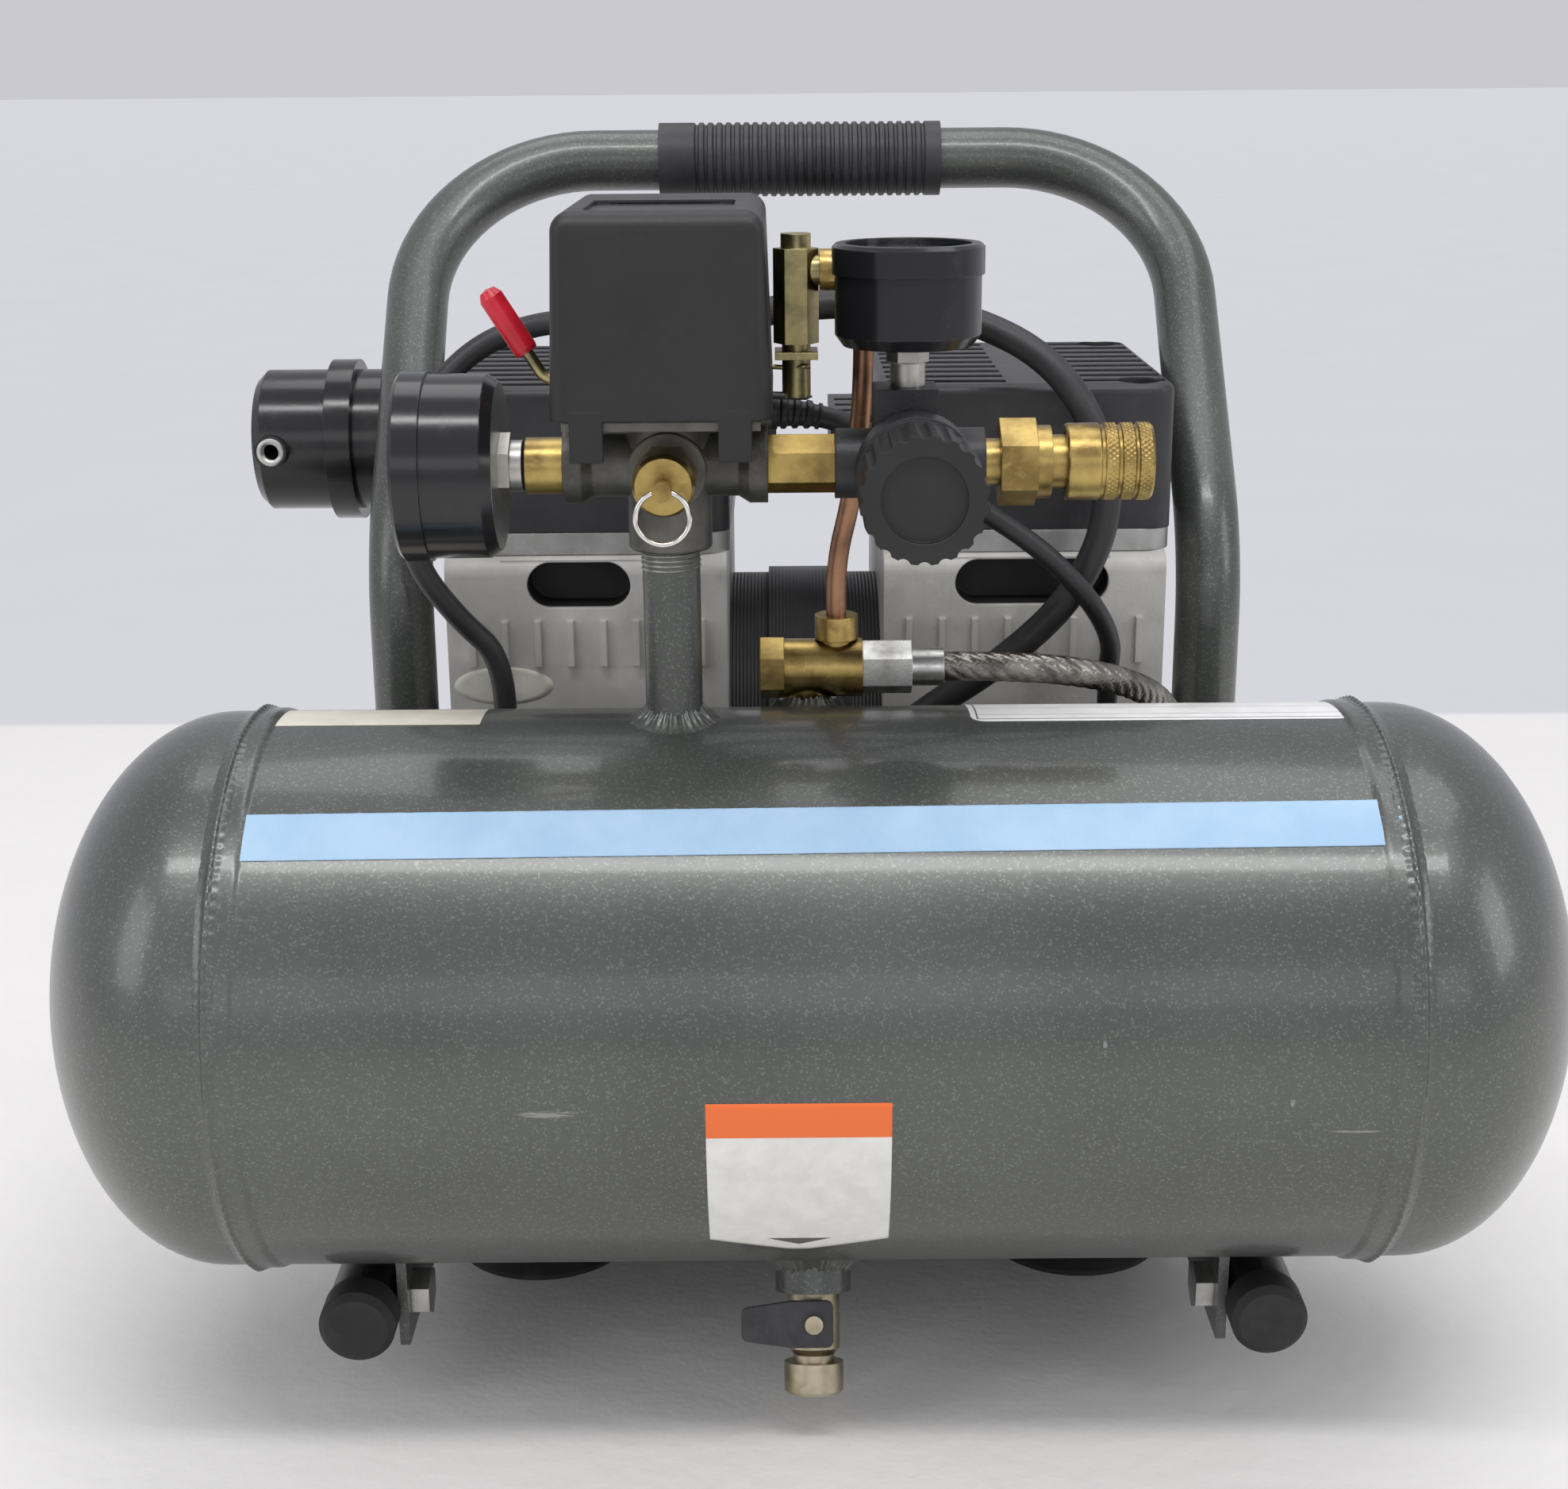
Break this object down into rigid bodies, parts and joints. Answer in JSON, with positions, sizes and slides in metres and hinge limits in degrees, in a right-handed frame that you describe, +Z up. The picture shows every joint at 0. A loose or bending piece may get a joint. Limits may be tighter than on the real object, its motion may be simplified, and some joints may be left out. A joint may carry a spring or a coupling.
{
  "type": "airbrush compressor",
  "caption": "Portable oil-free twin-cylinder air compressor: horizontal tank in front, pump and motor behind it, roll-bar handle, pressure switch, gauges, regulator and quick coupler.",
  "frame": {"origin": "on the floor under the middle of the machine, cords left out", "axes": "+Z up, controls and tank face -Y, the coupler points to +X"},
  "size_m": [0.433, 0.4674, 0.3599],
  "materials": {
    "hammertone": "dark grey hammered enamel with a metallic fleck, satin gloss",
    "tank_enamel": "grey-green metallic enamel, satin gloss, scratched",
    "cast_alu": "sand-cast aluminium, bead-blasted, greyish white",
    "black_cast": "black enamelled casting, satin",
    "steel": "bright zinc-plated steel",
    "gunmetal": "dark cast manifold, rough",
    "yellow_zinc": "yellow-passivated zinc, olive brass",
    "brass": "turned brass, aged",
    "copper": "soft copper tube, tarnished",
    "black_plastic": "moulded black plastic, fine grain",
    "gloss_black": "glossy black enamel",
    "rubber": "black rubber",
    "grip_rubber": "ribbed black foam rubber",
    "red_vinyl": "dipped red vinyl",
    "steel_dark": "dark plated steel",
    "laminations": "black-lacquered lamination pack",
    "white_dial": "white enamelled dial",
    "window": "clear polycarbonate",
    "needle_red": "red enamelled needle",
    "cord_black": "black PVC-sheathed cord",
    "braid": "stainless wire braid",
    "chrome": "nickel-plated wire",
    "drain_grey": "dark grey coated lever"
  },
  "bodies": {
    "machine": {"tank_shell": "tank_enamel", "tank_heads": "tank_enamel", "tank_welds": "tank_enamel", "tank_fittings": "hammertone", "tank_brackets": "hammertone", "hoop_frame": "hammertone", "handle_grip": "grip_rubber", "frame_end_caps": "rubber", "base_plate": "hammertone", "suction_feet": "rubber", "hex_bolts": "steel", "pump_isolators": "rubber", "motor_housing_left": "cast_alu", "motor_housing_right": "cast_alu", "stator": "laminations", "shaft_bearings": "steel", "cylinder_sleeves": "cast_alu", "valve_plates": "cast_alu", "cylinder_head_left": "black_cast", "cylinder_head_right": "black_cast", "discharge_fittings": "cast_alu", "intake_filter_body": "black_plastic", "intake_filter_cap": "black_plastic", "switch_manifold": "gunmetal", "switch_base": "gunmetal", "switch_cover": "black_plastic", "unloader_valve": "yellow_zinc", "check_valve_body": "brass", "copper_tube": "copper", "line_nuts": "steel", "braided_hose": "braid", "brass_unions": "yellow_zinc", "regulator_body": "black_cast", "gauge_cases": "gloss_black", "gauge_dials": "white_dial", "gauge_windows": "window", "coupler_body": "brass", "safety_valve_body": "brass", "drain_valve_body": "brass", "cord_glands": "black_plastic", "power_cord": "cord_black", "cord_coil": "cord_black", "power_plug": "cord_black", "motor_lead": "cord_black", "pump_lead": "cord_black"},
    "rotor": {"rotor_core": "steel_dark", "crankshaft": "steel", "cooling_fans": "black_plastic"},
    "left_piston": {"piston_left": "cast_alu"},
    "right_piston": {"piston_right": "cast_alu"},
    "start_lever": {"switch_lever": "yellow_zinc", "lever_cap": "red_vinyl"},
    "knob": {"regulator_knob": "black_plastic"},
    "left_needle": {"needle_left": "needle_red"},
    "top_needle": {"needle_top": "needle_red"},
    "sleeve": {"coupler_sleeve": "brass"},
    "relief_stem": {"safety_stem": "brass"},
    "pull_ring": {"safety_ring": "chrome"},
    "drain_handle": {"drain_lever": "drain_grey"},
    "check_poppet": {"check_disc": "rubber"}
  },
  "joints": [
    {"name": "crankshaft_spin", "type": "hinge", "parent": "machine", "child": "rotor", "pos_m": [0, 0.074, 0.152], "axis": [1, 0, 0], "continuous": true},
    {"name": "left_piston_slide", "type": "slide", "parent": "machine", "child": "left_piston", "axis": [0, 0, 1], "range_m": [-0.008, 0.008]},
    {"name": "right_piston_slide", "type": "slide", "parent": "machine", "child": "right_piston", "axis": [0, 0, 1], "range_m": [-0.008, 0.008]},
    {"name": "start_lever_turn", "type": "hinge", "parent": "machine", "child": "start_lever", "pos_m": [-0.0605, -0.088, 0.299], "axis": [0, 1, 0], "range_deg": [-28, 0]},
    {"name": "knob_turn", "type": "hinge", "parent": "machine", "child": "knob", "pos_m": [0.0285, -0.08, 0.275], "axis": [0, -1, 0], "range_deg": [0, 1080]},
    {"name": "left_needle_turn", "type": "hinge", "parent": "machine", "child": "left_needle", "pos_m": [-0.084, -0.08, 0.275], "axis": [1, 0, 0], "range_deg": [0, 270]},
    {"name": "top_needle_turn", "type": "hinge", "parent": "machine", "child": "top_needle", "pos_m": [0.027, -0.08, 0.307], "axis": [0, 0, -1], "range_deg": [0, 270]},
    {"name": "sleeve_slide", "type": "slide", "parent": "machine", "child": "sleeve", "axis": [-1, 0, 0], "range_m": [0, 0.0035], "stiffness_N_per_m": 900},
    {"name": "relief_stem_slide", "type": "slide", "parent": "machine", "child": "relief_stem", "axis": [0, -1, 0], "range_m": [0, 0.002], "stiffness_N_per_m": 2500},
    {"name": "pull_ring_swing", "type": "hinge", "parent": "relief_stem", "child": "pull_ring", "pos_m": [-0.038, -0.121, 0.275], "axis": [1, 0, 0], "range_deg": [-85, 20]},
    {"name": "drain_turn", "type": "hinge", "parent": "machine", "child": "drain_handle", "pos_m": [0, -0.11634, 0.03306], "axis": [0, -0.9272, 0.3746], "range_deg": [0, 90]},
    {"name": "check_poppet_slide", "type": "slide", "parent": "machine", "child": "check_poppet", "axis": [-1, 0, 0], "range_m": [0, 0.002], "stiffness_N_per_m": 300}
  ]
}
